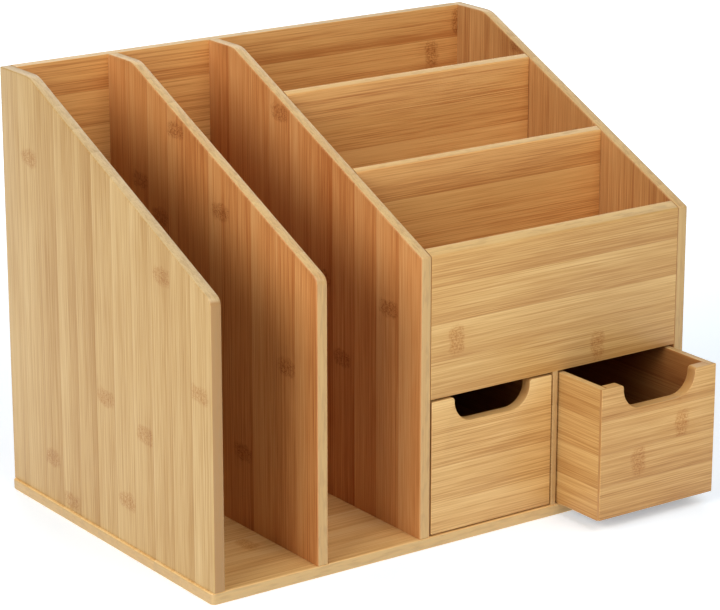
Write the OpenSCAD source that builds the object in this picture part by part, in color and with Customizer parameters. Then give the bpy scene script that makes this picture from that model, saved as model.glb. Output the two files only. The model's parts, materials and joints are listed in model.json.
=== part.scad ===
// Desk organizer in bamboo board: two magazine slots, three letter compartments and two drawers.
// X runs left to right, Y runs front to back and Z is up. The origin is on the underside of the
// base board, at the middle of its width and depth. The right drawer is modelled part way open.

/* [Carcass] */
// Overall width, taken at the base board
body_w = 330; // [310:1:400]
// Overall depth, front edges to back face
body_d = 220; // [215:1:260]
// Overall height
body_h = 255; // [245:1:300]
// Thickness of the carcass boards
board_t = 7; // [6:0.5:8]
// How far the base board stands out beyond each side panel
base_ledge = 1.5; // [0.5:0.1:3]
// Radius of the base board's upright corners
base_corner_r = 3; // [1:0.5:5]

/* [Sloping tops] */
// Height at which the slope meets the front edge
front_h = 170.5; // [160:0.5:185]
// Depth of the level stretch at the back of each upright
top_flat = 33; // [25:1:45]
// Radius of the bend between the level stretch and the slope
knee_r = 20; // [10:1:50]
// Radius of the free front corners of the magazine boards
free_corner_r = 6; // [2:0.5:10]
// Radius of the front corners that meet the upper front panel
tight_corner_r = 1.5; // [0.5:0.5:3]

/* [Magazine slots] */
// Clear width of the left slot
left_slot_w = 60; // [50:1:65]
// Clear width of the right slot
right_slot_w = 62; // [50:1:65]

/* [Letter compartments] */
// Thickness of the two cross dividers
letter_t = 4.5; // [4:0.5:6]
// Clear depth of the front compartment
front_letter_d = 64; // [50:1:68]
// Clear depth of the middle compartment
middle_letter_d = 65; // [50:1:68]

/* [Drawer bay] */
// Height of the underside of the upper front panel
bay_top = 88; // [80:1:100]
// Thickness of the shelf above the drawers
shelf_t = 5; // [5:0.5:7]
// Thickness of the board between the drawers
partition_t = 4; // [4:0.5:6]

/* [Drawers] */
// Side gap between a drawer and its bay
drawer_side_gap = 0.75; // [0.5:0.05:1.5]
// Gap above a drawer
drawer_top_gap = 1.5; // [1:0.1:3]
// Gap under the drawer sides
drawer_run_gap = 0.3; // [0.3:0.1:0.8]
// Gap under the drawer fronts
drawer_front_gap = 1; // [0.8:0.1:2]
// Gap left behind a closed drawer
drawer_stop_gap = 0.6; // [0.5:0.1:3]
// Thickness of the drawer fronts
drawer_front_t = 7; // [6:0.5:8]
// Thickness of the lips on a drawer front, where its rebates take the drawer sides
drawer_lip_t = 2; // [1.5:0.5:2.5]
// Thickness of the drawer sides and backs
drawer_side_t = 5; // [5:0.5:6]
// Thickness of the drawer bottoms
drawer_bottom_t = 3; // [2.5:0.5:4]
// How far the right drawer stands open
right_drawer_open = 38; // [0:1:120]

/* [Finger cut-outs] */
// Width between the cut-out's upright flanks
cutout_w = 53; // [40:1:56]
// Depth of the cut-out below the drawer's top edge
cutout_depth = 15.5; // [15.5:0.5:20]
// Radius of the cut-out's lower corners
cutout_r = 13; // [6:0.5:13]
// Radius of the cut-out's upper lips
cutout_lip_r = 2; // [1:0.5:2]

/* [Fasteners] */
// Diameter of the screw shanks
screw_d = 3; // [2.5:0.5:3.5]
// Diameter of the countersunk screw heads
screw_head_d = 6; // [5:0.5:6.5]
// Length of a screw
screw_len = 22; // [16:1:25]
// Diameter of the dowels in the carcass boards
dowel_d = 3; // [2.5:0.5:3.5]
// Diameter of the dowels in the thin boards
thin_dowel_d = 2.5; // [2:0.5:2.5]
// Diameter of the dowels in the partition's edges
partition_dowel_d = 2; // [1.5:0.5:2]

/* [Hidden] */
$fn = 48;
// How far a cutting shape runs past the face it cuts
over = 1;

// Colours of the pieces
pale_bamboo = [0.87, 0.72, 0.49];
bamboo = [0.82, 0.64, 0.40];
warm_bamboo = [0.74, 0.53, 0.30];
dowel_wood = [0.90, 0.80, 0.62];
steel = [0.72, 0.72, 0.74];

// Depth and height measured from the front edges and the table
back_face = body_d - board_t;
knee_y = body_d - top_flat;
slope_a = atan((body_h - front_h) / knee_y);

// Left face of each upright, measured from the middle of the body
side_x = body_w / 2 - base_ledge;
left_x = -side_x;
magazine_x = left_x + board_t + left_slot_w;
main_x = magazine_x + board_t + right_slot_w;
right_x = side_x - board_t;
UPRIGHT_X = [left_x, magazine_x, main_x, right_x];

// The section between the main divider and the right side panel
section_x = main_x + board_t;
section_w = right_x - section_x;
shelf_top = bay_top + shelf_t;
bay_w = (section_w - partition_t) / 2;
partition_x = section_x + bay_w;
right_bay_x = partition_x + partition_t;

// Front and back faces of the letter dividers
front_letter_y = board_t + front_letter_d;
rear_letter_y = front_letter_y + letter_t + middle_letter_d;

// Drawer box, in its own frame: front lower left corner of the drawer at [0, 0]
drawer_w = bay_w - 2 * drawer_side_gap;
drawer_len = back_face - drawer_stop_gap;
drawer_side_z = board_t + drawer_run_gap;
drawer_front_z = board_t + drawer_front_gap;
drawer_top_z = bay_top - drawer_top_gap;
drawer_bottom_z = drawer_side_z + 5;
drawer_back_y = drawer_len - drawer_side_t;
groove = 2;

// Screws: the heads sit just below the face they are driven through
screw_sink = 0.3;
screw_head_h = 2;
screw_tip = 3;
socket_w = 0.9;
socket_len = 3.2;
socket_depth = 1.2;
pilot_spare = 0.5;
BASE_SCREW_Y = [25, 106, 188];
BACK_SCREW_X = [magazine_x, main_x];
BACK_SCREW_Z = [30, 130, 222];

// Dowels: how deep they sit in a board's face, and how deep in a board's end
face_seat = 4.5;
end_seat = 13;
thin_face_seat = 3;
thin_end_seat = 9;
BACK_PANEL_DOWEL_Z = [30, 130, 222];
FRONT_PANEL_DOWEL_Z = [102, 152];
SHELF_DOWEL_Y = [40, 110, 180];
FRONT_LETTER_DOWEL_Z = [112, 182];
REAR_LETTER_DOWEL_Z = [112, 208];
PARTITION_DOWEL_Y = [40, 170];
DRAWER_DOWEL_Z = [22, 62];

// Points of an arc that rounds corner p, for a path that turns from heading a_in to a_out
function round_corner(p, a_in, a_out, r, n = 8) =
    let (
        turn = a_out - a_in,
        side = sign(turn),
        start = p - r * tan(abs(turn) / 2) * [cos(a_in), sin(a_in)],
        centre = start + side * r * [-sin(a_in), cos(a_in)]
    )
    [for (i = [0:n]) let (a = a_in - side * 90 + turn * i / n) centre + r * [cos(a), sin(a)]];

// Height of the sloping plane at a distance y behind the front edges
function slope_z(y) = front_h + y * tan(slope_a);

// Draws its child, an outline in Y and Z, as a board of thickness w that starts at x
module board_across(x, w) {
    translate([x, -body_d / 2, 0])
        rotate([90, 0, 90])
            linear_extrude(w)
                children();
}

// Straight round peg from p, along X when turned to [0, 90, 0], along Y when turned to [-90, 0, 0]
module peg(p, turn, d, len) {
    translate(p)
        rotate(turn)
            cylinder(d = d, h = len);
}

// Countersunk wood screw with a cross socket, head face at z = 0, tip up
module screw() {
    difference() {
        union() {
            cylinder(d1 = screw_head_d, d2 = screw_d, h = screw_head_h);
            translate([0, 0, screw_head_h])
                cylinder(d = screw_d, h = screw_len - screw_head_h - screw_tip);
            translate([0, 0, screw_len - screw_tip])
                cylinder(d1 = screw_d, d2 = 0.4, h = screw_tip);
        }
        for (a = [0, 90])
            rotate([0, 0, a])
                translate([-socket_len / 2, -socket_w / 2, -over])
                    cube([socket_len, socket_w, socket_depth + over]);
    }
}

// The room that a screw takes in the boards, with a spare length past its tip
module screw_room() {
    translate([0, 0, -screw_sink - over])
        cylinder(d = screw_head_d, h = screw_sink + over);
    cylinder(d1 = screw_head_d, d2 = screw_d, h = screw_head_h);
    translate([0, 0, screw_head_h])
        cylinder(d = screw_d, h = screw_len - screw_head_h + pilot_spare);
}

// Puts its child at every base screw, pointing up
module at_base_screws() {
    for (x = UPRIGHT_X)
        for (y = BASE_SCREW_Y)
            translate([x + board_t / 2, y - body_d / 2, screw_sink])
                children();
}

// Puts its child at every back screw, pointing forwards
module at_back_screws() {
    for (x = BACK_SCREW_X)
        for (z = BACK_SCREW_Z)
            translate([x + board_t / 2, body_d / 2 - screw_sink, z])
                rotate([90, 0, 0])
                    children();
}

// Pegs across both ends of the back panel
module back_panel_pegs() {
    for (x = [left_x + board_t - face_seat, right_x - end_seat])
        for (z = BACK_PANEL_DOWEL_Z)
            peg([x, (body_d - board_t) / 2, z], [0, 90, 0], dowel_d, face_seat + end_seat);
}

// Pegs across both ends of the upper front panel
module front_panel_pegs() {
    for (x = [section_x - face_seat, right_x - end_seat])
        for (z = FRONT_PANEL_DOWEL_Z)
            peg([x, (board_t - body_d) / 2, z], [0, 90, 0], dowel_d, face_seat + end_seat);
}

// Pegs across both ends of the drawer shelf
module shelf_pegs() {
    for (x = [section_x - face_seat, right_x - end_seat])
        for (y = SHELF_DOWEL_Y)
            peg([x, y - body_d / 2, bay_top + shelf_t / 2], [0, 90, 0], thin_dowel_d,
                face_seat + end_seat);
}

// Pegs across both ends of one letter divider with front face at y
module letter_pegs(y, heights) {
    for (x = [section_x - thin_face_seat, right_x - thin_end_seat])
        for (z = heights)
            peg([x, y + (letter_t - body_d) / 2, z], [0, 90, 0], thin_dowel_d,
                thin_face_seat + thin_end_seat);
}

module all_letter_pegs() {
    letter_pegs(front_letter_y, FRONT_LETTER_DOWEL_Z);
    letter_pegs(rear_letter_y, REAR_LETTER_DOWEL_Z);
}

// Upright pegs at the partition's lower and upper edges
module partition_pegs() {
    for (y = PARTITION_DOWEL_Y)
        for (z = [board_t - thin_face_seat, bay_top - thin_end_seat])
            peg([partition_x + partition_t / 2, y - body_d / 2, z], [0, 0, 0], partition_dowel_d,
                thin_face_seat + thin_end_seat);
}

// Outline of an upright in Y and Z: level at the back, sloping to the front corner
module upright_outline(back_y, corner_r) {
    polygon(concat(
        [[0, board_t], [back_y, board_t], [back_y, body_h]],
        round_corner([knee_y, body_h], 180, 180 + slope_a, knee_r),
        round_corner([0, front_h], 180 + slope_a, 270, corner_r)
    ));
}

// Upright board with its left face at x and its back edge at back_y, drilled for the base screws
module upright(x, back_y, corner_r) {
    difference() {
        board_across(x, board_t)
            upright_outline(back_y, corner_r);
        at_base_screws()
            screw_room();
    }
}

// Carcass boards

module base_board() {
    straight_w = body_w - 2 * base_corner_r;
    straight_d = body_d - 2 * base_corner_r;
    color(bamboo)
        difference() {
            linear_extrude(board_t) {
                square([straight_w, body_d], center = true);
                square([body_w, straight_d], center = true);
                for (x = [-1, 1])
                    for (y = [-1, 1])
                        translate([x * straight_w / 2, y * straight_d / 2])
                            circle(r = base_corner_r);
            }
            at_base_screws()
                screw_room();
            partition_pegs();
        }
}

// The side panels run to the back face and cover the ends of the back panel

module left_side_panel() {
    color(pale_bamboo)
        difference() {
            upright(left_x, body_d, free_corner_r);
            back_panel_pegs();
        }
}

module magazine_divider() {
    color(pale_bamboo)
        difference() {
            upright(magazine_x, back_face, free_corner_r);
            at_back_screws()
                screw_room();
        }
}

module main_divider() {
    color(pale_bamboo)
        difference() {
            upright(main_x, back_face, tight_corner_r);
            at_back_screws()
                screw_room();
            front_panel_pegs();
            shelf_pegs();
            all_letter_pegs();
        }
}

module right_side_panel() {
    color(pale_bamboo)
        difference() {
            upright(right_x, body_d, tight_corner_r);
            back_panel_pegs();
            front_panel_pegs();
            shelf_pegs();
            all_letter_pegs();
        }
}

module back_panel() {
    color(warm_bamboo)
        difference() {
            translate([left_x + board_t, back_face - body_d / 2, board_t])
                cube([right_x - left_x - board_t, board_t, body_h - board_t]);
            at_back_screws()
                screw_room();
            back_panel_pegs();
        }
}

module upper_front_panel() {
    color(bamboo)
        difference() {
            board_across(section_x, section_w)
                polygon(concat(
                    [[0, bay_top], [board_t, bay_top], [board_t, slope_z(board_t)]],
                    round_corner([0, front_h], 180 + slope_a, 270, tight_corner_r)
                ));
            front_panel_pegs();
        }
}

// Letter divider with its front face at y and its top cut to the slope
module letter_divider(y) {
    back = y + letter_t;
    board_across(section_x, section_w)
        polygon([[y, shelf_top], [back, shelf_top], [back, slope_z(back)], [y, slope_z(y)]]);
}

module rear_letter_divider() {
    color(warm_bamboo)
        difference() {
            letter_divider(rear_letter_y);
            letter_pegs(rear_letter_y, REAR_LETTER_DOWEL_Z);
        }
}

module front_letter_divider() {
    color(warm_bamboo)
        difference() {
            letter_divider(front_letter_y);
            letter_pegs(front_letter_y, FRONT_LETTER_DOWEL_Z);
        }
}

// The shelf runs under the letter compartments, from the front panel to the back panel
module drawer_shelf() {
    color(bamboo)
        difference() {
            translate([section_x, board_t - body_d / 2, bay_top])
                cube([section_w, back_face - board_t, shelf_t]);
            shelf_pegs();
            partition_pegs();
        }
}

module drawer_partition() {
    color(bamboo)
        difference() {
            translate([partition_x, -body_d / 2, board_t])
                cube([partition_t, back_face, bay_top - board_t]);
            partition_pegs();
        }
}

// Fasteners of the carcass

module base_screws() {
    color(steel)
        at_base_screws()
            screw();
}

module back_screws() {
    color(steel)
        at_back_screws()
            screw();
}

module back_panel_dowels() {
    color(dowel_wood)
        back_panel_pegs();
}

module front_panel_dowels() {
    color(dowel_wood)
        front_panel_pegs();
}

module shelf_dowels() {
    color(dowel_wood)
        shelf_pegs();
}

module letter_divider_dowels() {
    color(dowel_wood)
        all_letter_pegs();
}

module partition_dowels() {
    color(dowel_wood)
        partition_pegs();
}

// Drawer pieces, drawn with the drawer's front left edge at x = 0 and y = 0

// Pegs from the sides into the front, behind its lips, and into the back
module drawer_pegs() {
    for (x = [drawer_side_t - thin_face_seat, drawer_w - drawer_side_t - thin_end_seat])
        for (y = [(drawer_lip_t + drawer_front_t) / 2, drawer_back_y + drawer_side_t / 2])
            for (z = DRAWER_DOWEL_Z)
                peg([x, y, z], [0, 90, 0], thin_dowel_d, thin_face_seat + thin_end_seat);
}

// Bottom panel, let into grooves on all four edges
module drawer_bottom_shape() {
    inner_w = drawer_w - 2 * drawer_side_t;
    inner_d = drawer_back_y - drawer_front_t;
    translate([drawer_side_t - groove, drawer_front_t - groove, drawer_bottom_z])
        cube([inner_w + 2 * groove, inner_d + 2 * groove, drawer_bottom_t]);
}

// Room for the two sides in the ends of the front
module drawer_rebates() {
    for (x = [-over, drawer_w - drawer_side_t])
        translate([x, drawer_lip_t, 0])
            cube([drawer_side_t + over, drawer_front_t, drawer_top_z + over]);
}

// Front with its finger cut-out, outlined in X and Z, and rebated for the sides
module drawer_front_shape() {
    left = (drawer_w - cutout_w) / 2;
    right = left + cutout_w;
    floor_z = drawer_top_z - cutout_depth;
    difference() {
        translate([0, drawer_front_t, 0])
            rotate([90, 0, 0])
                linear_extrude(drawer_front_t)
                    polygon(concat(
                        [[0, drawer_front_z], [drawer_w, drawer_front_z], [drawer_w, drawer_top_z]],
                        round_corner([right, drawer_top_z], 180, 270, cutout_lip_r, 6),
                        round_corner([right, floor_z], 270, 180, cutout_r, 10),
                        round_corner([left, floor_z], 180, 90, cutout_r, 10),
                        round_corner([left, drawer_top_z], 90, 180, cutout_lip_r, 6),
                        [[0, drawer_top_z]]
                    ));
        drawer_rebates();
        drawer_pegs();
        drawer_bottom_shape();
    }
}

// Side with its left face at x
module drawer_side_shape(x) {
    difference() {
        translate([x, drawer_lip_t, drawer_side_z])
            cube([drawer_side_t, drawer_len - drawer_lip_t, drawer_top_z - drawer_side_z]);
        drawer_pegs();
        drawer_bottom_shape();
    }
}

module drawer_back_shape() {
    difference() {
        translate([drawer_side_t, drawer_back_y, drawer_side_z])
            cube([drawer_w - 2 * drawer_side_t, drawer_side_t, drawer_top_z - drawer_side_z]);
        drawer_pegs();
        drawer_bottom_shape();
    }
}

// Places of the two drawers in the body

module in_left_bay() {
    translate([section_x + drawer_side_gap, -body_d / 2, 0])
        children();
}

module in_right_bay() {
    translate([right_bay_x + drawer_side_gap, -body_d / 2 - right_drawer_open, 0])
        children();
}

module left_drawer_front() {
    color(bamboo)
        in_left_bay()
            drawer_front_shape();
}

module left_drawer_left_side() {
    color(warm_bamboo)
        in_left_bay()
            drawer_side_shape(0);
}

module left_drawer_right_side() {
    color(warm_bamboo)
        in_left_bay()
            drawer_side_shape(drawer_w - drawer_side_t);
}

module left_drawer_back() {
    color(warm_bamboo)
        in_left_bay()
            drawer_back_shape();
}

module left_drawer_bottom() {
    color(bamboo)
        in_left_bay()
            drawer_bottom_shape();
}

module left_drawer_dowels() {
    color(dowel_wood)
        in_left_bay()
            drawer_pegs();
}

module right_drawer_front() {
    color(bamboo)
        in_right_bay()
            drawer_front_shape();
}

module right_drawer_left_side() {
    color(warm_bamboo)
        in_right_bay()
            drawer_side_shape(0);
}

module right_drawer_right_side() {
    color(warm_bamboo)
        in_right_bay()
            drawer_side_shape(drawer_w - drawer_side_t);
}

module right_drawer_back() {
    color(warm_bamboo)
        in_right_bay()
            drawer_back_shape();
}

module right_drawer_bottom() {
    color(bamboo)
        in_right_bay()
            drawer_bottom_shape();
}

module right_drawer_dowels() {
    color(dowel_wood)
        in_right_bay()
            drawer_pegs();
}

base_board();
left_side_panel();
magazine_divider();
main_divider();
right_side_panel();
back_panel();
upper_front_panel();
rear_letter_divider();
front_letter_divider();
drawer_shelf();
drawer_partition();
base_screws();
back_screws();
back_panel_dowels();
front_panel_dowels();
shelf_dowels();
letter_divider_dowels();
partition_dowels();
left_drawer_front();
left_drawer_left_side();
left_drawer_right_side();
left_drawer_back();
left_drawer_bottom();
left_drawer_dowels();
right_drawer_front();
right_drawer_left_side();
right_drawer_right_side();
right_drawer_back();
right_drawer_bottom();
right_drawer_dowels();
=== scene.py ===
import json
import math

import bmesh
import bpy
from mathutils import Matrix, Vector
from mathutils.geometry import normal as plane_normal, tessellate_polygon


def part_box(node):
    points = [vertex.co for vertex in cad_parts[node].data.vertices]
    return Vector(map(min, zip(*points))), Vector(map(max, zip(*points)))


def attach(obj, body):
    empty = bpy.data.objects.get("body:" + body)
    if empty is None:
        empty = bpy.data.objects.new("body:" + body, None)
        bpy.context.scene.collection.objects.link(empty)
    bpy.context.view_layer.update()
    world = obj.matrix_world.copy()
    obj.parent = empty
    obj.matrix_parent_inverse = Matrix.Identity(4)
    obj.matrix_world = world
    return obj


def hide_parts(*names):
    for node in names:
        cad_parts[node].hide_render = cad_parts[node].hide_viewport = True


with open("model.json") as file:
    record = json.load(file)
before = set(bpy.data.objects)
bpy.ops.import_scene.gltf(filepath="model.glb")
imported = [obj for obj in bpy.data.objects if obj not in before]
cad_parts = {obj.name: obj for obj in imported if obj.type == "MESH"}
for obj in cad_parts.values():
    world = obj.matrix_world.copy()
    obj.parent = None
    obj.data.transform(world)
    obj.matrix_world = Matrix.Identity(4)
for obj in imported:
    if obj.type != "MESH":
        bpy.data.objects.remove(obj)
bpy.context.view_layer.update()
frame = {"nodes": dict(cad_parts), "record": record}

# Desk organizer in laminated bamboo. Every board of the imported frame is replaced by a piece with
# the same faces, eased edges and its own grain. The screws and dowels stay as the frame has them.

MM = 0.001

# Edge rounding: free edges, the share of it that edges take where two boards meet, and how much
# more or less some boards have
FREE_EDGE = 0.9 * MM
JOINT_SHARE = 0.3
EDGE_SCALE = {"base_board": 1.4, "back_panel": 0.4, "left_drawer_front": 0.6,
              "right_drawer_front": 0.6}
BEVEL_SEGMENTS = 3

# Two faces that turn by more than this meet in a sharp edge, and by less than the other are flat
SHARP_ANGLE = math.radians(25)
FLAT_ANGLE = math.radians(0.5)

# Boards closer than this touch, and the walls of a hole are this close to its screw or dowel
TOUCH = 0.2 * MM
FASTENER_ROOM = 0.5 * MM

# Corners closer than this are one corner, and points closer than the other are in one plane
SAME_CORNER = 0.001 * MM
SAME_PLANE = 0.002 * MM

# Layers of bamboo fibre: length and width of their noise in millimetres, its detail, and how
# much they count in the tone
FIBRES = {
    "coarse": (420.0, 6.0, 2.0, 0.35),
    "medium": (240.0, 2.1, 2.0, 0.4),
    "fine": (90.0, 0.75, 2.0, 1.1),
    "brushed": (26.0, 0.45, 1.0, 0.9),
    "cloud": (110.0, 34.0, 2.0, 0.5),
}

# What else counts in the tone: the middle, the strip's own tone, its darker flank, dark lines
# and faint stripes
MIDDLE_TONE = 0.35
STRIP_TONE = 0.26
FLANK_TONE = 0.46
LINE_TONE = 0.2
PINSTRIPE_TONE = 0.06

# Distance between the faint stripes that follow the fibres, in millimetres
PINSTRIPE = 1.35

# How far a strip and its node marks are moved along the grain at random, in millimetres
STRIP_SHIFT = 900.0
NODE_SHIFT = 400.0

# Node marks on a strip in millimetres: how far apart, and half their length and width
NODE_SPACING = 210.0
NODE_SPREAD = 150.0
NODE_LENGTH = 4.3
NODE_WIDTH = 7.5

# How far the outer strips reach past a board, so that no strip ends on a face
STRIP_SPARE = 0.4

# Width of the line of glue at the rim of a strip, as a share of the strip
GLUE_LINE = 0.022

# Bamboo tones as linear reflectance, and the places of the five colours in each
PALEST, MIDDLE, DARKEST, PLANED, END_GRAIN = range(5)
PALE = ((0.61, 0.415, 0.184), (0.50, 0.304, 0.109), (0.37, 0.187, 0.046),
        (0.45, 0.230, 0.082), (0.76, 0.560, 0.300))
GOLD = ((0.80, 0.510, 0.195), (0.66, 0.372, 0.119), (0.50, 0.230, 0.056),
        (0.80, 0.560, 0.255), (0.40, 0.180, 0.050))
FLAXEN = ((0.84, 0.545, 0.220), (0.69, 0.392, 0.132), (0.49, 0.225, 0.056),
          (0.62, 0.370, 0.140), (0.40, 0.180, 0.050))
TAWNY = ((0.74, 0.440, 0.160), (0.60, 0.316, 0.096), (0.42, 0.180, 0.041),
         (0.62, 0.370, 0.140), (0.40, 0.180, 0.050))
STRAW = ((0.69, 0.430, 0.165), (0.57, 0.318, 0.104), (0.42, 0.190, 0.047),
         (0.80, 0.540, 0.230), (0.60, 0.370, 0.150))
# Partly the bamboo's own tone and partly painted light: made paler so that the base between the
# uprights looks more lit than the lamps make it; the drawer shelf shares it
HONEY_WITH_PAINTED_LIGHT = ((0.92, 0.630, 0.290), (0.87, 0.545, 0.207), (0.66, 0.335, 0.100),
         (0.58, 0.390, 0.175), (0.46, 0.305, 0.140))
# Partly the bamboo's own tone and partly painted shade: a warmer, more orange copy for the back
# panel and letter dividers, standing in for the shade and bounce light between the boards
AMBER_WITH_PAINTED_SHADE = ((0.89, 0.500, 0.166), (0.78, 0.388, 0.114), (0.55, 0.209, 0.049),
         (0.82, 0.590, 0.280), (0.50, 0.250, 0.080))
# Partly the bamboo's own tone and partly painted shade: a darker, more orange copy for the
# uprights between the slots, standing in for the shade and bounce light inside them
WARM_WITH_PAINTED_SHADE = ((0.67, 0.345, 0.124), (0.575, 0.238, 0.068), (0.390, 0.112, 0.022),
        (0.68, 0.470, 0.195), (0.81, 0.580, 0.265))
# Partly the bamboo's own tone and partly painted shade: a darker, redder copy for the right side
# panel, whose inner face stands in shade
RUSSET_WITH_PAINTED_SHADE = ((0.61, 0.325, 0.116), (0.50, 0.232, 0.072), (0.34, 0.125, 0.032),
          (0.66, 0.450, 0.185), (0.79, 0.560, 0.255))
# Painted shade: a dark copy of the bamboo tone for the right sides of the drawers, so that their
# inner faces look in shade
COPPER_WITH_PAINTED_SHADE = ((0.40, 0.172, 0.048), (0.33, 0.124, 0.031), (0.24, 0.072, 0.015),
          (0.72, 0.480, 0.200), (0.50, 0.250, 0.080))
# Painted shade: a near black copy of the bamboo tone for the drawer backs and bottoms, so that the
# inside of a drawer looks dark
UMBER_WITH_PAINTED_SHADE = ((0.25, 0.110, 0.036), (0.200, 0.075, 0.022), (0.140, 0.046, 0.012),
         (0.60, 0.380, 0.160), (0.40, 0.200, 0.070))
END_FLECK = (0.42, 0.25, 0.11)

# What a node mark leaves of the colour under it, on most boards and on the boards whose tones hold
# painted shade
KNOT_SHADE = (0.75, 0.56, 0.36)
DEEP_KNOT_SHADE = (0.56, 0.40, 0.27)
PAINTED_SHADE_TONES = (WARM_WITH_PAINTED_SHADE, AMBER_WITH_PAINTED_SHADE, RUSSET_WITH_PAINTED_SHADE)


def rgba(colour):
    return tuple(colour) + (1.0,)


class Graph:
    """Adds shader nodes to a new material and links them."""

    def __init__(self, name):
        self.material = bpy.data.materials.new(name)
        self.material.use_nodes = True
        self.tree = self.material.node_tree
        self.tree.nodes.clear()

    def put(self, socket, value):
        if isinstance(value, bpy.types.NodeSocket):
            self.tree.links.new(value, socket)
        else:
            socket.default_value = value

    def node(self, kind, inputs=None, **settings):
        made = self.tree.nodes.new(kind)
        for key, value in settings.items():
            setattr(made, key, value)
        for key, value in (inputs or {}).items():
            self.put(made.inputs[key], value)
        return made

    def math(self, operation, *values):
        return self.node("ShaderNodeMath", dict(enumerate(values)), operation=operation).outputs[0]

    def add(self, *values):
        total = values[0]
        for value in values[1:]:
            total = self.math("ADD", total, value)
        return total

    def times(self, a, b):
        return self.math("MULTIPLY", a, b)

    def smooth(self, value, low, high):
        """0 at low and 1 at high, with a soft start and end between."""
        made = self.node("ShaderNodeMapRange", {0: value, 1: low, 2: high, 3: 0.0, 4: 1.0},
                         interpolation_type="SMOOTHSTEP")
        return made.outputs[0]

    def mix(self, factor, a, b, blend="MIX"):
        made = self.node("ShaderNodeMix", {0: factor, 6: a, 7: b},
                         data_type="RGBA", blend_type=blend)
        return made.outputs[2]

    def vector(self, x, y, z):
        return self.node("ShaderNodeCombineXYZ", {0: x, 1: y, 2: z}).outputs[0]

    def noise(self, vector, detail=2.0, roughness=0.5):
        made = self.node("ShaderNodeTexNoise", {"Vector": vector, "Scale": 1.0, "Detail": detail,
                                                "Roughness": roughness})
        return made.outputs[0]

    def random(self, index, seed):
        """Three random numbers for a whole number."""
        made = self.node("ShaderNodeTexWhiteNoise", {"Vector": self.vector(index, seed, 0.37)},
                         noise_dimensions="3D")
        return self.node("ShaderNodeSeparateColor", {0: made.outputs["Color"]}).outputs

    def ramp(self, value, stops):
        made = self.node("ShaderNodeValToRGB", {0: value})
        elements = made.color_ramp.elements
        while len(elements) < len(stops):
            elements.new(0.5)
        for element, (place, colour) in zip(elements, stops):
            element.position = place
            element.color = rgba(colour)
        return made.outputs[0]

    def finish(self, colour, roughness, height, **constants):
        """Joins a colour, a roughness and a height in millimetres to the surface."""
        bump = self.node("ShaderNodeBump", {"Height": height, "Distance": MM, "Strength": 1.0})
        shader = self.node("ShaderNodeBsdfPrincipled", {"Base Color": colour,
                           "Roughness": roughness, "Normal": bump.outputs[0]})
        for key, value in constants.items():
            shader.inputs[key.replace("_", " ")].default_value = value
        out = self.node("ShaderNodeOutputMaterial")
        self.tree.links.new(shader.outputs[0], out.inputs[0])
        return self.material


def millimetres(graph):
    """The piece's own coordinates, in millimetres, as X, Y and Z sockets."""
    point = graph.node("ShaderNodeTexCoord").outputs["Object"]
    scaled = graph.node("ShaderNodeVectorMath", {0: point, "Scale": 1 / MM}, operation="SCALE")
    return list(graph.node("ShaderNodeSeparateXYZ", {0: scaled.outputs[0]}).outputs)


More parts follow.
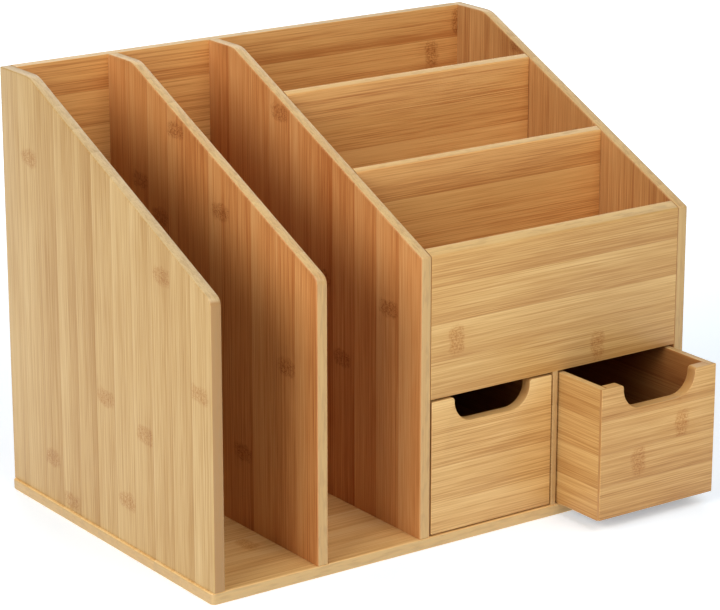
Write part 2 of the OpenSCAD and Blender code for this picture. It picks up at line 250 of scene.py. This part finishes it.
class Bamboo(Graph):
    """Laminated bamboo: strips along the grain axis, side by side from a start on another axis."""

    def __init__(self, name, tones, grain, across, start, strip_w, seed):
        super().__init__(name)
        self.tones, self.grain, self.strip_w = tones, grain, strip_w
        self.thick = next(axis for axis in "XYZ" if axis not in (grain, across))
        axes = dict(zip("XYZ", millimetres(self)))
        self.side, self.through = axes[across], axes[self.thick]

        place = self.times(self.add(self.side, -start), 1 / strip_w)
        strip = self.math("FLOOR", place)
        self.inside = self.math("SUBTRACT", place, strip)
        self.centred = self.math("SUBTRACT", self.inside, 0.5)
        self.tone, self.lean, shift = self.random(strip, seed)[:3]
        self.mark_draws = self.random(strip, seed + 40.5)[:3]
        self.run = self.add(axes[grain], self.times(shift, STRIP_SHIFT))

    def grain_point(self, length, width, depth):
        """Coordinates for a noise with patches of a length, a width and a depth."""
        return self.vector(self.times(self.run, 1 / length), self.times(self.side, 1 / width),
                           self.times(self.through, 1 / depth))

    def fibre(self, length, width, detail=2.0):
        """Noise about zero, drawn out along the grain."""
        grey = self.noise(self.grain_point(length, width, width), detail)
        return self.math("SUBTRACT", grey, 0.5)

    def fibre_tone(self, layers):
        """0 for the palest fibre and 1 for the darkest. One flank of a strip is the denser."""
        flank = self.times(self.centred, self.add(-0.35, self.times(self.lean, -0.65)))
        lines = self.smooth(self.fibre(280.0, 0.9, 1.0), 0.07, 0.17)
        wave = self.add(self.times(self.side, math.tau / PINSTRIPE),
                        self.times(layers["coarse"], 14.0))
        pinstripes = self.times(self.math("SINE", wave), self.smooth(layers["cloud"], -0.2, 0.2))
        weighed = [self.times(layers[key], FIBRES[key][3]) for key in FIBRES]
        return self.add(MIDDLE_TONE, self.times(flank, FLANK_TONE),
                        self.times(self.tone, STRIP_TONE), *weighed,
                        self.times(lines, LINE_TONE), self.times(pinstripes, PINSTRIPE_TONE))

    def node_marks(self):
        """A patch here and there on each strip, hatched both ways and trailing faint streaks."""
        mark_gap, mark_shift, mark_side = self.mark_draws
        gap = self.add(NODE_SPACING, self.times(mark_gap, NODE_SPREAD))
        turns = self.math("DIVIDE", self.add(self.run, self.times(mark_shift, NODE_SHIFT)), gap)
        away = self.times(self.math("SUBTRACT", self.math("FRACT", turns), 0.5), gap)
        away = self.add(away, self.times(self.fibre(7.0, 5.0), 6.0))
        off = self.add(self.times(self.centred, self.strip_w),
                       self.times(self.math("SUBTRACT", mark_side, 0.5), -5.0))
        off = self.add(off, self.times(self.fibre(4.0, 3.0), 5.0))
        shares = [self.math("ABSOLUTE", self.times(away, 1 / NODE_LENGTH)),
                  self.math("ABSOLUTE", self.times(off, 1 / NODE_WIDTH))]
        reach = self.add(*[self.math("POWER", share, 3.0) for share in shares])
        patch = self.smooth(reach, 2.6, 0.0)
        trail = self.times(self.smooth(reach, 30.0, 0.5),
                           self.smooth(self.fibre(30.0, 0.8), 0.0, 0.2))
        dashes = self.smooth(self.fibre(2.4, 0.5, 2.0), 0.0, 0.1)
        cross = self.smooth(self.fibre(0.6, 1.8, 2.0), 0.03, 0.13)
        hatch = self.math("MAXIMUM", dashes, cross)
        return self.add(self.times(patch, self.add(0.2, self.times(hatch, 0.8))),
                        self.times(trail, 0.25))

    def glue_lines(self):
        """1 on the line of glue between two strips."""
        rim = self.math("MINIMUM", self.inside, self.math("SUBTRACT", 1.0, self.inside))
        return self.smooth(rim, GLUE_LINE, 0.0)

    def cut_tone(self, value, end):
        """Colour of planed edges and end grain, with stains, and flecks where fibres are cut."""
        flecks = self.smooth(self.noise(self.grain_point(6.0, 3.2, 0.7), 3.0), 0.5, 0.68)
        stains = self.smooth(self.noise(self.grain_point(12.0, 7.0, 1.6), 3.0), 0.48, 0.66)
        colour = self.mix(end, rgba(self.tones[PLANED]), rgba(self.tones[END_GRAIN]))
        colour = self.mix(self.times(value, 0.35), colour, rgba(self.tones[MIDDLE]))
        colour = self.mix(self.times(stains, 0.35), colour, rgba(END_FLECK))
        return self.mix(self.times(flecks, self.times(end, 0.3)), colour, rgba(END_FLECK))

    def build(self):
        layers = {key: self.fibre(*FIBRES[key][:3]) for key in FIBRES}
        value = self.fibre_tone(layers)
        mark, glue = self.node_marks(), self.glue_lines()
        colour = self.ramp(value, list(zip((0.0, 0.5, 1.0), self.tones)))
        knot_shade = DEEP_KNOT_SHADE if self.tones in PAINTED_SHADE_TONES else KNOT_SHADE
        colour = self.mix(mark, colour, rgba(knot_shade), "MULTIPLY")
        colour = self.mix(self.times(glue, 0.35), colour, rgba(self.tones[DARKEST]))

        # Edges and ends have their own tones, and rounded corners are painted pale, partly as
        # rubbed wear and partly as painted highlight
        facing = self.node("ShaderNodeTexCoord").outputs["Normal"]
        parts = self.node("ShaderNodeSeparateXYZ", {0: facing}).outputs
        sizes = dict(zip("XYZ", [self.math("ABSOLUTE", part) for part in parts]))
        edge = self.smooth(sizes[self.thick], 0.7, 0.3)
        end = self.smooth(sizes[self.grain], 0.3, 0.75)
        colour = self.mix(self.times(edge, 0.9), colour, self.cut_tone(value, end))
        widest = self.math("MAXIMUM", self.math("MAXIMUM", sizes["X"], sizes["Y"]), sizes["Z"])
        # Painted highlight, partly wear: rounded corners are mixed towards the palest tone
        rubbed_and_highlight = self.smooth(widest, 0.93, 0.75)
        colour = self.mix(self.times(rubbed_and_highlight, 0.2), colour, rgba(self.tones[PALEST]))

        medium, fine = layers["medium"], layers["fine"]
        roughness = self.add(0.44, self.times(medium, 0.16), self.times(fine, 0.16),
                             self.times(mark, 0.05))
        height = self.add(self.times(medium, 0.03), self.times(fine, 0.05),
                          self.times(mark, 0.015), self.times(glue, -0.05))
        return self.finish(colour, roughness, height, IOR=1.5, Coat_Weight=0.1,
                           Coat_Roughness=0.3, Specular_IOR_Level=0.35)


def zinc_steel():
    """Plated screw steel with fine turning marks and dull patches."""
    graph = Graph("zinc_steel")
    axes = millimetres(graph)
    patch = graph.noise(graph.vector(*[graph.times(axis, 0.6) for axis in axes]))
    grit = graph.noise(graph.vector(*[graph.times(axis, 9.0) for axis in axes]))
    colour = graph.mix(patch, rgba((0.55, 0.56, 0.59)), rgba((0.35, 0.35, 0.34)))
    roughness = graph.add(0.22, graph.times(patch, 0.2), graph.times(grit, 0.12))
    return graph.finish(colour, roughness, graph.times(grit, 0.01), Metallic=1.0)


def beech():
    """Plain dowel wood with short dark flecks."""
    graph = Graph("beech")
    x, y, z = millimetres(graph)
    grain = graph.noise(graph.vector(*[graph.times(axis, 1.6) for axis in (x, y, z)]), 3.0)
    fleck = graph.smooth(graph.noise(graph.vector(graph.times(x, 5.0), y, graph.times(z, 5.0))),
                         0.58, 0.7)
    colour = graph.mix(grain, rgba((0.76, 0.59, 0.38)), rgba((0.60, 0.41, 0.22)))
    colour = graph.mix(graph.times(fleck, 0.5), colour, rgba((0.35, 0.19, 0.08)))
    return graph.finish(colour, graph.add(0.5, graph.times(grain, 0.15)),
                        graph.times(grain, 0.02))


def studio_floor():
    """Plain pale studio floor with a trace of unevenness."""
    graph = Graph("studio_floor")
    x, y, z = millimetres(graph)
    cloud = graph.noise(graph.vector(graph.times(x, 0.004), graph.times(y, 0.004), z))
    colour = graph.mix(cloud, rgba((0.87, 0.91, 0.95)), rgba((0.84, 0.88, 0.92)))
    return graph.finish(colour, 0.85, 0.0, Emission_Color=rgba((0.88, 1.0, 1.1)),
                        Emission_Strength=0.35)


# Boards: tones, grain axis, axis across the strips and strip width
LEFT_UPRIGHT = (PALE, "Z", "Y", 21.0)
# The inner uprights take a tone with painted shade in it
INNER_UPRIGHT = (WARM_WITH_PAINTED_SHADE, "Z", "Y", 21.0)
# The right side panel takes a darker tone than the left one as painted shade
RIGHT_UPRIGHT = (RUSSET_WITH_PAINTED_SHADE, "Z", "Y", 21.0)
FRONT = (GOLD, "X", "Z", 21.0)
LEFT_DRAWER_FRONT = (FLAXEN, "X", "Z", 19.0)
RIGHT_DRAWER_FRONT = (TAWNY, "X", "Z", 19.0)
# The back panel and letter dividers take a tone with painted shade in it
INNER_LEVEL = (AMBER_WITH_PAINTED_SHADE, "X", "Z", 21.0)
# The base and the drawer shelf take a tone made paler as painted light
FLAT = (HONEY_WITH_PAINTED_LIGHT, "X", "Y", 21.0)
DRAWER_SIDE = (STRAW, "Y", "Z", 19.0)
BOARDS = {
    "base_board": FLAT,
    "left_side_panel": LEFT_UPRIGHT,
    "magazine_divider": INNER_UPRIGHT,
    "main_divider": INNER_UPRIGHT,
    "right_side_panel": RIGHT_UPRIGHT,
    "back_panel": INNER_LEVEL,
    "upper_front_panel": FRONT,
    "rear_letter_divider": INNER_LEVEL,
    "front_letter_divider": INNER_LEVEL,
    "drawer_shelf": FLAT,
    "drawer_partition": DRAWER_SIDE,
}
for hand, drawer_front in (("left", LEFT_DRAWER_FRONT), ("right", RIGHT_DRAWER_FRONT)):
    BOARDS[hand + "_drawer_front"] = drawer_front
    BOARDS[hand + "_drawer_left_side"] = DRAWER_SIDE
    # The right sides, backs and bottoms of the drawers take dark tones as painted shade
    BOARDS[hand + "_drawer_right_side"] = (COPPER_WITH_PAINTED_SHADE, "Y", "Z", 19.0)
    BOARDS[hand + "_drawer_back"] = (UMBER_WITH_PAINTED_SHADE, "X", "Z", 21.0)
    BOARDS[hand + "_drawer_bottom"] = (UMBER_WITH_PAINTED_SHADE, "Y", "X", 19.0)

BODY_OF = {node: body for body, nodes in frame["record"]["behaviour"]["bodies"].items()
           for node in nodes}
BOARD_BOXES = {node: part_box(node) for node in BOARDS}


def in_box(point, box, room):
    low, high = box
    return all(low[i] - room <= point[i] <= high[i] + room for i in range(3))


def box_of(points):
    low = [min(point[i] for point in points) for i in range(3)]
    return low, [max(point[i] for point in points) for i in range(3)]


def solids(shape):
    """The corner points of each separate solid in a mesh."""
    left = set(shape.verts)
    while left:
        found, reach = [], [left.pop()]
        while reach:
            vert = reach.pop()
            found.append(vert.co.copy())
            near = {edge.other_vert(vert) for edge in vert.link_edges} & left
            left -= near
            reach += near
        yield found


def fastener_boxes():
    """Low and high corners of every screw and dowel."""
    boxes = []
    for node, piece in frame["nodes"].items():
        if node in BOARDS:
            continue
        shape = bmesh.new()
        shape.from_mesh(piece.data)
        bmesh.ops.remove_doubles(shape, verts=shape.verts, dist=SAME_CORNER)
        boxes += [box_of(points) for points in solids(shape)]
        shape.free()
    return boxes


FASTENER_BOXES = fastener_boxes()


def take_out_holes(shape):
    """Closes a board over its screw and dowel holes, and returns the walls of the holes."""
    walls = []
    for face in shape.faces:
        points = [vert.co for vert in face.verts]
        if any(all(in_box(point, box, FASTENER_ROOM) for point in points)
               for box in FASTENER_BOXES):
            walls.append(face)
    outlines = [[vert.co.copy() for vert in face.verts] for face in walls]
    bmesh.ops.delete(shape, geom=walls, context="FACES")
    rims = [edge for edge in shape.edges if edge.is_boundary]
    bmesh.ops.holes_fill(shape, edges=rims, sides=0)
    return outlines


def edge_share(node, edge):
    """How much of the full rounding an edge takes: little where two boards meet."""
    middle = (edge.verts[0].co + edge.verts[1].co) / 2
    for other, box in BOARD_BOXES.items():
        if other != node and BODY_OF[other] == BODY_OF[node] and in_box(middle, box, TOUCH):
            return JOINT_SHARE
    return 1.0


def runs_on(edge, other, vert):
    """True where one edge carries on from another in nearly the same line."""
    first = edge.other_vert(vert).co - vert.co
    second = other.other_vert(vert).co - vert.co
    return first.angle(second) > math.pi - SHARP_ANGLE


def edge_shares(node, shape):
    """The rounding share of each sharp edge. A run of edges takes the largest share in it."""
    shares = {edge: edge_share(node, edge) for edge in shape.edges
              if edge.calc_face_angle(0.0) > SHARP_ANGLE}
    reach = list(shares)
    while reach:
        edge = reach.pop()
        for vert in edge.verts:
            for other in vert.link_edges:
                if other not in shares or shares[other] >= shares[edge]:
                    continue
                if runs_on(edge, other, vert):
                    shares[other] = shares[edge]
                    reach.append(other)
    return shares


def rounded_board(node, shape):
    """A board's polygons with rounded edges, each as its points, their normals and its own."""
    weight = shape.edges.layers.float.new("bevel_weight_edge")
    for edge, share in edge_shares(node, shape).items():
        edge[weight] = share
    for face in shape.faces:
        face.smooth = True
    mesh = bpy.data.meshes.new(node + "_blank")
    shape.to_mesh(mesh)
    piece = bpy.data.objects.new(node + "_blank", mesh)
    bpy.context.scene.collection.objects.link(piece)
    bevel = piece.modifiers.new("eased_edges", "BEVEL")
    bevel.limit_method = "WEIGHT"
    bevel.width = FREE_EDGE * EDGE_SCALE.get(node, 1.0)
    bevel.segments = BEVEL_SEGMENTS
    bevel.use_clamp_overlap = False
    bevel.harden_normals = True
    result = piece.evaluated_get(bpy.context.evaluated_depsgraph_get()).to_mesh()
    polygons = []
    for polygon in result.polygons:
        points = [result.vertices[i].co.copy() for i in polygon.vertices]
        normals = [result.corner_normals[i].vector.copy() for i in polygon.loop_indices]
        polygons.append((points, normals, polygon.normal.copy()))
    bpy.data.objects.remove(piece)
    bpy.data.meshes.remove(mesh)
    return polygons


def spot(point):
    """A point as a key that is the same for every copy of it."""
    return tuple(round(2 * value / SAME_CORNER) for value in point)


def open_rims(walls):
    """Closed loops of points along the open edges of the hole walls."""
    sides = {}
    for points in walls:
        for a, b in zip(points, points[1:] + points[:1]):
            sides[spot(a), spot(b)] = a
    following = {a: (b, point) for (a, b), point in sides.items() if (b, a) not in sides}
    rims = []
    while following:
        here, rim = next(iter(following)), []
        while here in following:
            here, point = following.pop(here)
            rim.append(point)
        rims.append(rim)
    return rims


def in_plane(points, polygon):
    """True where points lie in the plane of a polygon."""
    start, facing = polygon[0][0], polygon[2]
    return all(abs((point - start).dot(facing)) < SAME_PLANE for point in points)


def flat_groups(polygons):
    """Sorts polygons into groups that lie in one plane and face the same way."""
    groups = []
    for polygon in polygons:
        for group in groups:
            if group[0][2].dot(polygon[2]) > 0.99999 and in_plane(polygon[0], group[0]):
                group.append(polygon)
                break
        else:
            groups.append([polygon])
    return groups


def fill_between(group, rims):
    """Splits a flat group of polygons into triangles, with the rims that lie in it left open."""
    facing = group[0][2]
    box = box_of([point for polygon in group for point in polygon[0]])
    inside = [rim for rim in rims if in_plane(rim, group[0]) and
              all(in_box(point, box, SAME_CORNER) for point in rim)]
    if not inside:
        return group
    outlines = open_rims([polygon[0] for polygon in group]) + inside
    corners = [point for outline in outlines for point in outline]
    # Turned off the axes, so that no two holes line up while the face is being filled
    askew = Matrix.Rotation(math.radians(17), 3, facing)
    turned = [[askew @ point for point in outline] for outline in outlines]
    triangles = [[corners[i] for i in picked] for picked in tessellate_polygon(turned)]
    if sum((b - a).cross(c - a).dot(facing) for a, b, c in triangles) < 0:
        triangles = [triangle[::-1] for triangle in triangles]
    return [(triangle, [facing] * 3, facing) for triangle in triangles]


def make_board(node, material):
    """Rebuilds a board of the frame as one closed mesh with rounded edges and its own holes."""
    shape = bmesh.new()
    shape.from_mesh(frame["nodes"][node].data)
    bmesh.ops.remove_doubles(shape, verts=shape.verts, dist=SAME_CORNER)
    walls = take_out_holes(shape)
    bmesh.ops.dissolve_limit(shape, angle_limit=FLAT_ANGLE, verts=shape.verts,
                             edges=shape.edges)
    rims = open_rims(walls)
    polygons = []
    for group in flat_groups(rounded_board(node, shape)):
        polygons += fill_between(group, rims)
    shape.free()
    for points in walls:
        facing = plane_normal(points)
        polygons.append((points, [facing] * len(points), facing))

    index, corners, faces, normals = {}, [], [], []
    for points, around, facing in polygons:
        for point in points:
            if spot(point) not in index:
                index[spot(point)] = len(corners)
                corners.append(point)
        faces.append([index[spot(point)] for point in points])
        normals += around
    mesh = bpy.data.meshes.new(node + "_board")
    mesh.from_pydata(corners, [], faces)
    mesh.shade_smooth()
    mesh.normals_split_custom_set(normals)
    mesh.materials.append(material)
    piece = bpy.data.objects.new(node + "_board", mesh)
    bpy.context.scene.collection.objects.link(piece)
    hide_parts(node)
    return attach(piece, BODY_OF[node])


def whole_strips(node, across, width):
    """Start and width of the strips of a board, about as wide as asked, in millimetres."""
    axis = "XYZ".index(across)
    start, end = (corner[axis] / MM for corner in BOARD_BOXES[node])
    span = end - start + 2 * STRIP_SPARE
    return start - STRIP_SPARE, span / round(span / width)


def give_material(node, material):
    """Puts a material on a part of the frame that stays as it is."""
    mesh_slots = frame["nodes"][node].data.materials
    mesh_slots.clear()
    mesh_slots.append(material)


# Half the width of the floor
FLOOR_HALF = 8.0

# Camera: focal length and sensor in millimetres, where it looks along, at and from how far
LENS = 148.4
SENSOR = 36.0
VIEW_AZIMUTH = 35.2
VIEW_ELEVATION = 17.05
VIEW_AIM = Vector((0.0036, -0.0079, 0.1133))
VIEW_DISTANCE = 1.7255

# Studio lights: where each aims, the azimuth and elevation it looks along, its distance, its
# size and its power in watts. The last hangs over the floor behind the object and keeps it pale.
MIDDLE_OF_OBJECT = Vector((0.0, 0.0, 0.12))
FLOOR_BEHIND = Vector((0.95, 1.5, 0.0))
LIGHTS = {
    "front_light": (MIDDLE_OF_OBJECT, 0.0, 40.0, 2.4, 1.4, 18.5),
    "high_front_light": (MIDDLE_OF_OBJECT, 0.0, 62.0, 2.4, 1.4, 7.2),
    "front_left_light": (MIDDLE_OF_OBJECT, 75.0, 25.0, 2.4, 1.4, 32.0),
    "back_left_light": (MIDDLE_OF_OBJECT, 100.0, 30.0, 2.4, 1.4, 14.0),
    "right_light": (MIDDLE_OF_OBJECT, -40.0, 35.0, 2.4, 1.4, 6.7),
    "floor_light": (FLOOR_BEHIND, 0.0, 89.0, 1.1, 1.8, 24.0),
}
WORLD_STRENGTH = 0.03


def make_floor():
    mesh = bpy.data.meshes.new("floor")
    shape = bmesh.new()
    corners = [shape.verts.new((x * FLOOR_HALF, y * FLOOR_HALF, 0.0)) for x, y in
               ((-1, -1), (1, -1), (1, 1), (-1, 1))]
    shape.faces.new(corners)
    shape.to_mesh(mesh)
    shape.free()
    mesh.materials.append(studio_floor())
    floor = bpy.data.objects.new("floor", mesh)
    bpy.context.scene.collection.objects.link(floor)


def towards(azimuth, elevation):
    """Unit vector that looks along an azimuth, 0 along +Y and positive to +X, and down."""
    turn, drop = math.radians(azimuth), math.radians(elevation)
    return Vector((math.sin(turn) * math.cos(drop), math.cos(turn) * math.cos(drop),
                   -math.sin(drop)))


def make_camera():
    data = bpy.data.cameras.new("camera")
    data.lens = LENS
    data.sensor_width = SENSOR
    look = towards(VIEW_AZIMUTH, VIEW_ELEVATION)
    camera = bpy.data.objects.new("camera", data)
    camera.location = VIEW_AIM - look * VIEW_DISTANCE
    camera.rotation_euler = look.to_track_quat("-Z", "Y").to_euler()
    bpy.context.scene.collection.objects.link(camera)
    bpy.context.scene.camera = camera


def make_light(name, aim, azimuth, elevation, distance, size, power):
    """A square soft light that looks at a point along an azimuth and an elevation."""
    data = bpy.data.lights.new(name, "AREA")
    data.shape = "SQUARE"
    data.size = size
    data.energy = power
    look = towards(azimuth, elevation)
    light = bpy.data.objects.new(name, data)
    light.location = aim - look * distance
    light.rotation_euler = look.to_track_quat("-Z", "Y").to_euler()
    bpy.context.scene.collection.objects.link(light)


def make_surroundings():
    world = bpy.data.worlds.new("studio")
    world.use_nodes = True
    background = world.node_tree.nodes["Background"]
    background.inputs["Color"].default_value = (1.0, 1.0, 1.0, 1.0)
    background.inputs["Strength"].default_value = WORLD_STRENGTH
    bpy.context.scene.world = world
    bpy.context.scene.view_settings.view_transform = "Standard"
    for name, light in LIGHTS.items():
        make_light(name, *light)


def main():
    for seed, (node, (tones, grain, across, width)) in enumerate(BOARDS.items(), 1):
        start, strip_w = whole_strips(node, across, width)
        material = Bamboo(node + "_bamboo", tones, grain, across, start, strip_w, seed).build()
        make_board(node, material)
    steel, wood = zinc_steel(), beech()
    for node in frame["nodes"]:
        if node.endswith("_screws"):
            give_material(node, steel)
        elif node.endswith("_dowels"):
            give_material(node, wood)
    make_floor()
    make_surroundings()
    make_camera()


main()
